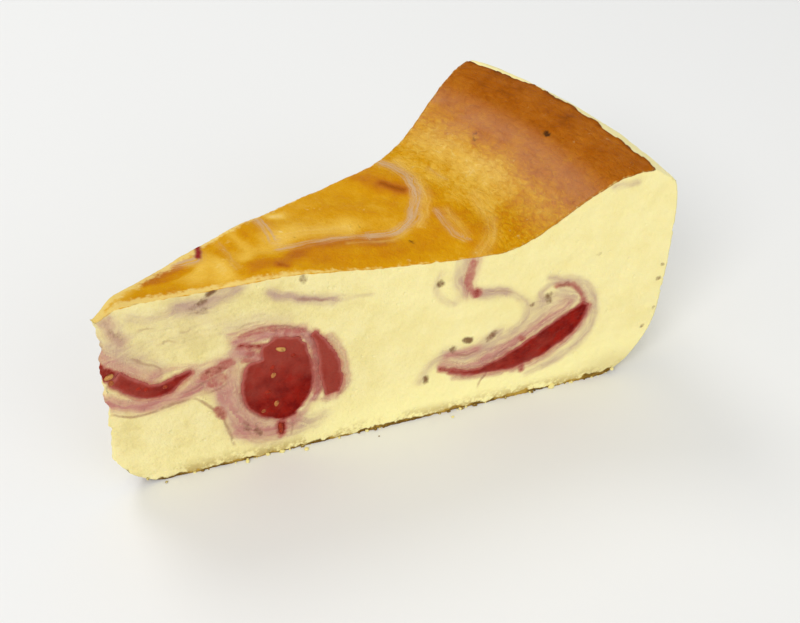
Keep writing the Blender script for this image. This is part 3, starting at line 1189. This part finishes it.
def cutColour(tree, tone, streaks, ragged, radius, height):
    # The custard of a cut, with its veils, veins, stains and flecks
    look = custardLook
    custardTone = mixColour(tree, ease(tree, tone, 0.32, 0.68), look["pale"], look["rich"])
    patchy = plus(tree, tone, centred(tree, ragged, 0.5))
    low = times(tree, ease(tree, height, 18.0, 2.0), ease(tree, radius, 0.0, 60.0, 0.35, 0.7))
    grey, pink = field(tree, "grey"), field(tree, "pink")
    veinGap = calculate(tree, "ABSOLUTE", plus(tree, field(tree, "veinGap"), centred(tree, ragged, 1.2)))
    vein = times(tree, ease(tree, veinGap, 1.4, 0.1), field(tree, "vein"), ease(tree, tone, 0.3, 0.5))
    wavy = centred(tree, streaks, 0.6)
    stain = plus(tree, field(tree, "stainDepth"), centred(tree, ragged, 1.0), wavy)
    seep = plus(tree, field(tree, "fillingDepth"), centred(tree, ragged, 0.7), wavy)
    fleck = plus(tree, field(tree, "fleckDepth"), centred(tree, ragged, 1.1))
    colour = layered(tree, custardTone, look, [
        ("dull", times(tree, ease(tree, patchy, 0.50, 0.68), ease(tree, radius, 30.0, 80.0, 0.36, 0.08))),
        ("bright", plus(tree, low, ease(tree, radius, 30.0, 75.0, 0.0, 0.4))),
        ("dull", times(tree, ease(tree, radius, 106.0, 120.0), ease(tree, height, 10.0, 3.0), 0.6)),
        ("footBrown", times(tree, ease(tree, height, 4.8, 0.3, 0.0, 0.7), ease(tree, patchy, 0.42, 0.60))),
        ("grey", ease(tree, streaked(tree, grey, streaks, 1.5), 0.0, 1.0)),
        ("pink", ease(tree, streaked(tree, pink, streaks, 1.5), 0.0, 1.0)),
        ("pinkDeep", times(tree, ease(tree, streaks, 0.50, 0.72), ease(tree, pink, 0.55, 1.0), 0.5)),
        ("vein", vein),
        ("stainEdge", ease(tree, stain, -0.8, 0.15, 0.0, 0.9)),
        ("stain", ease(tree, stain, 0.0, 0.5)),
        ("stainEdge", ease(tree, seep, -1.3, 0.1, 0.0, 0.9)),
        ("stain", ease(tree, seep, 0.0, 0.8)),
        ("fleck", ease(tree, fleck, -0.55, 0.25, 0.0, 0.9)),
    ])
    return colour, seep


def bakedColour(tree, tone, streaks, ragged, wrinkle, radius):
    # The browned top, with its pale and lilac swirls
    look = custardLook
    crinkled = times(tree, centred(tree, wrinkle, 0.6), ease(tree, radius, 80.0, 94.0, 0.3, 1.0),
                     ease(tree, radius, 100.0, 108.0, 1.0, 0.5))
    toast = plus(tree, field(tree, "toast"), centred(tree, tone, 0.22), centred(tree, ragged, 0.05),
                 crinkled, times(tree, field(tree, "edgeDark"), 0.16))
    ramp = addNode(tree, "ShaderNodeValToRGB", {"Fac": toast})
    while len(ramp.color_ramp.elements) < len(look["toastRamp"]):
        ramp.color_ramp.elements.new(0.5)
    for element, (spot, colour) in zip(ramp.color_ramp.elements, look["toastRamp"]):
        element.position, element.color = spot, colour
    cutRim = plus(tree, field(tree, "cutGap"), centred(tree, ragged, 3.2), centred(tree, tone, 2.4),
                  ease(tree, radius, 15.0, 70.0, 0.0, 1.6))
    stain = plus(tree, field(tree, "topStain"), centred(tree, ragged, 0.3))
    fleck = plus(tree, field(tree, "topFleckDepth"), centred(tree, ragged, 1.2))
    return layered(tree, ramp.outputs["Color"], look, [
        ("topPale", ease(tree, streaked(tree, field(tree, "topPale"), streaks, 2.2), 0.0, 1.1)),
        ("topLilac", ease(tree, streaked(tree, field(tree, "topLilac"), streaks, 4.5), 0.0, 1.15)),
        ("cutRim", ease(tree, cutRim, 2.0, 0.7, 0.0, 0.8)),
        ("topStain", ease(tree, stain, 0.15, 0.85)),
        ("topFleck", ease(tree, fleck, -0.35, 0.3, 0.0, 0.9)),
    ])


def makeCustardFinish():
    look = custardLook
    material, tree, shader = newMaterial("bakedCustard")
    grain = placeGroup(tree, moistGrain, {"Grain Size": 1.0, "Pore Amount": 0.5, "Blotch Size": 7.0})
    damp = placeGroup(tree, dampPatches, {"Damp": 0.42, "Dry": 0.62, "Patch Size": 2.2})
    swirl = placeGroup(tree, swirlStreaks, {"Streak Width": 1.1, "Streak Length": 6.0})
    topSwirl = placeGroup(tree, swirlStreaks, {"Streak Width": 0.5, "Streak Length": 10.0})
    tone, streaks, ragged = grain.outputs["Tone"], swirl.outputs["Streaks"], swirl.outputs["Ragged"]
    place = field(tree, "cakePlace", "Vector")
    parts = addNode(tree, "ShaderNodeSeparateXYZ", {"Vector": place})
    radius, height = parts.outputs["X"], parts.outputs["Z"]
    across = addNode(tree, "ShaderNodeMapping", {"Vector": place, "Scale": (1.1, 0.5, 0.5)})
    wrinkle = noiseAt(tree, across.outputs["Vector"], 1.0, 5.0, 0.62, 0.8)

    colour, seep = cutColour(tree, tone, streaks, ragged, radius, height)
    baked = bakedColour(tree, tone, topSwirl.outputs["Streaks"], ragged, wrinkle, radius)
    crust = ease(tree, plus(tree, field(tree, "crust"), centred(tree, ragged, 0.5)), -0.12, 0.16)
    colour = mixColour(tree, crust, colour, baked)
    under = ease(tree, plus(tree, field(tree, "underSkin"), centred(tree, ragged, 1.2)), -0.15, 0.3)
    skin = mixColour(tree, ease(tree, tone, 0.42, 0.62), look["underSkin"], look["underSkinPale"])
    colour = mixColour(tree, under, colour, skin)
    wet = ease(tree, seep, -0.6, 0.3, 0.0, 0.2)
    roughness = calculate(tree, "SUBTRACT", damp.outputs["Roughness"], wet)
    sheen = times(tree, ease(tree, radius, 92.0, 102.0), ease(tree, radius, 112.5, 106.5), crust, 0.5)

    bareCut = calculate(tree, "SUBTRACT", 1.0, times(tree, crust, 0.8))
    relief = times(tree, grain.outputs["Height"], bareCut, ease(tree, radius, 40.0, 80.0, 1.1, 0.6))
    relief = plus(tree, relief, times(tree, wrinkle, crust, ease(tree, radius, 78.0, 96.0, 0.9, 5.0)))
    relief = plus(tree, relief, times(tree, streaks, field(tree, "pink"), 0.6))
    setBump(tree, shader, relief, 0.6, 0.0005)
    setInputs(tree, shader, {
        "Base Color": colour, "Roughness": roughness, "Specular IOR Level": 0.04, "Coat Weight": sheen,
        "Coat Roughness": 0.42, "Subsurface Weight": 0.2, "Subsurface Radius": (1.0, 0.8, 0.4),
        "Subsurface Scale": 0.001})
    return material


# Raspberry finish

raspberryLook = {
    "edge": rgb(174, 94, 84),
    "rosy": rgb(152, 62, 50),
    "body": rgb(134, 20, 8),
    "deep": rgb(112, 6, 3),
    "bright": rgb(150, 20, 8),
}


def makeRaspberryFinish():
    look = raspberryLook
    material, tree, shader = newMaterial("raspberryFilling")
    grain = placeGroup(tree, moistGrain, {"Grain Size": 1.2, "Pore Amount": 0.5, "Blotch Size": 3.6})
    damp = placeGroup(tree, dampPatches, {"Damp": 0.22, "Dry": 0.5, "Patch Size": 1.6})
    swirl = placeGroup(tree, swirlStreaks, {"Streak Width": 2.2, "Streak Length": 8.0})
    streaks, ragged = swirl.outputs["Streaks"], swirl.outputs["Ragged"]
    tone = grain.outputs["Tone"]
    colour = mixColour(tree, ease(tree, tone, 0.38, 0.56), look["deep"], look["body"])
    colour = mixColour(tree, ease(tree, tone, 0.52, 0.66, 0.0, 0.75), colour, look["bright"])
    rosy = plus(tree, field(tree, "rosy"), centred(tree, streaks, 0.7))
    colour = mixColour(tree, ease(tree, rosy, 0.1, 1.1, 0.0, 0.95), colour, look["rosy"])
    depth = plus(tree, field(tree, "fillingDepth"), centred(tree, ragged, 0.6), centred(tree, streaks, 0.4))
    colour = mixColour(tree, ease(tree, depth, 0.8, -0.2, 0.0, 0.95), colour, look["edge"])
    setBump(tree, shader, plus(tree, grain.outputs["Height"], times(tree, streaks, 0.6)), 0.35, 0.0005)
    setInputs(tree, shader, {
        "Base Color": colour, "Roughness": damp.outputs["Roughness"], "Specular IOR Level": 0.06,
        "Subsurface Weight": 0.1, "Subsurface Radius": (1.0, 0.2, 0.12), "Subsurface Scale": 0.0008})
    return material


# Seed and crumb finishes

seedLook = {"tan": rgb(202, 152, 84), "reddish": rgb(158, 42, 22), "shade": rgb(96, 30, 14)}
crumbLook = {"custard": rgb(240, 226, 150), "browned": rgb(130, 98, 34)}


def makeSeedFinish():
    material, tree, shader = newMaterial("raspberrySeed")
    grain = placeGroup(tree, moistGrain, {"Grain Size": 0.35, "Pore Amount": 0.8, "Blotch Size": 1.0})
    damp = placeGroup(tree, dampPatches, {"Damp": 0.25, "Dry": 0.5, "Patch Size": 0.8})
    colour = mixColour(tree, field(tree, "tan"), seedLook["reddish"], seedLook["tan"])
    shade = ease(tree, grain.outputs["Tone"], 0.55, 0.35, 0.0, 0.6)
    colour = mixColour(tree, shade, colour, seedLook["shade"])
    setBump(tree, shader, grain.outputs["Height"], 0.5, 0.0002)
    setInputs(tree, shader, {
        "Base Color": colour, "Roughness": damp.outputs["Roughness"], "Specular IOR Level": 0.12})
    return material


def makeCrumbFinish():
    material, tree, shader = newMaterial("custardCrumb")
    grain = placeGroup(tree, moistGrain, {"Grain Size": 0.4, "Pore Amount": 0.5, "Blotch Size": 1.2})
    damp = placeGroup(tree, dampPatches, {"Damp": 0.5, "Dry": 0.7, "Patch Size": 1.0})
    browned = times(tree, field(tree, "browned"), ease(tree, grain.outputs["Tone"], 0.3, 0.5))
    colour = mixColour(tree, browned, crumbLook["custard"], crumbLook["browned"])
    setBump(tree, shader, grain.outputs["Height"], 0.5, 0.0003)
    setInputs(tree, shader, {
        "Base Color": colour, "Roughness": damp.outputs["Roughness"], "Specular IOR Level": 0.2})
    return material


custard.data.materials.append(makeCustardFinish())
raspberryFinish = makeRaspberryFinish()
for piece in fillings.values():
    piece.data.materials.append(raspberryFinish)
seedPiece.data.materials.append(makeSeedFinish())
crumbPiece.data.materials.append(makeCrumbFinish())
print("finishes are set")


# Floor

floorLook = {"reach": 1600, "colour": rgb(233, 233, 232), "roughness": 0.7}


def makeFloor():
    reach = floorLook["reach"]
    corners = [(x * reach, y * reach, 0) for x, y in ((-1, -1), (1, -1), (1, 1), (-1, 1))]
    floor = makeObject("floor", corners, [(0, 1, 2, 3)])
    material, tree, shader = newMaterial("paleFloor")
    setInputs(tree, shader, {"Base Color": floorLook["colour"], "Roughness": floorLook["roughness"]})
    floor.data.materials.append(material)


makeFloor()


# Ties to the frame

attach(custard, "root")
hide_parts("cheesecake")
for name, piece in fillings.items():
    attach(piece, "root")
    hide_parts(name)
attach(seedPiece, "root")
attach(crumbPiece, "root")
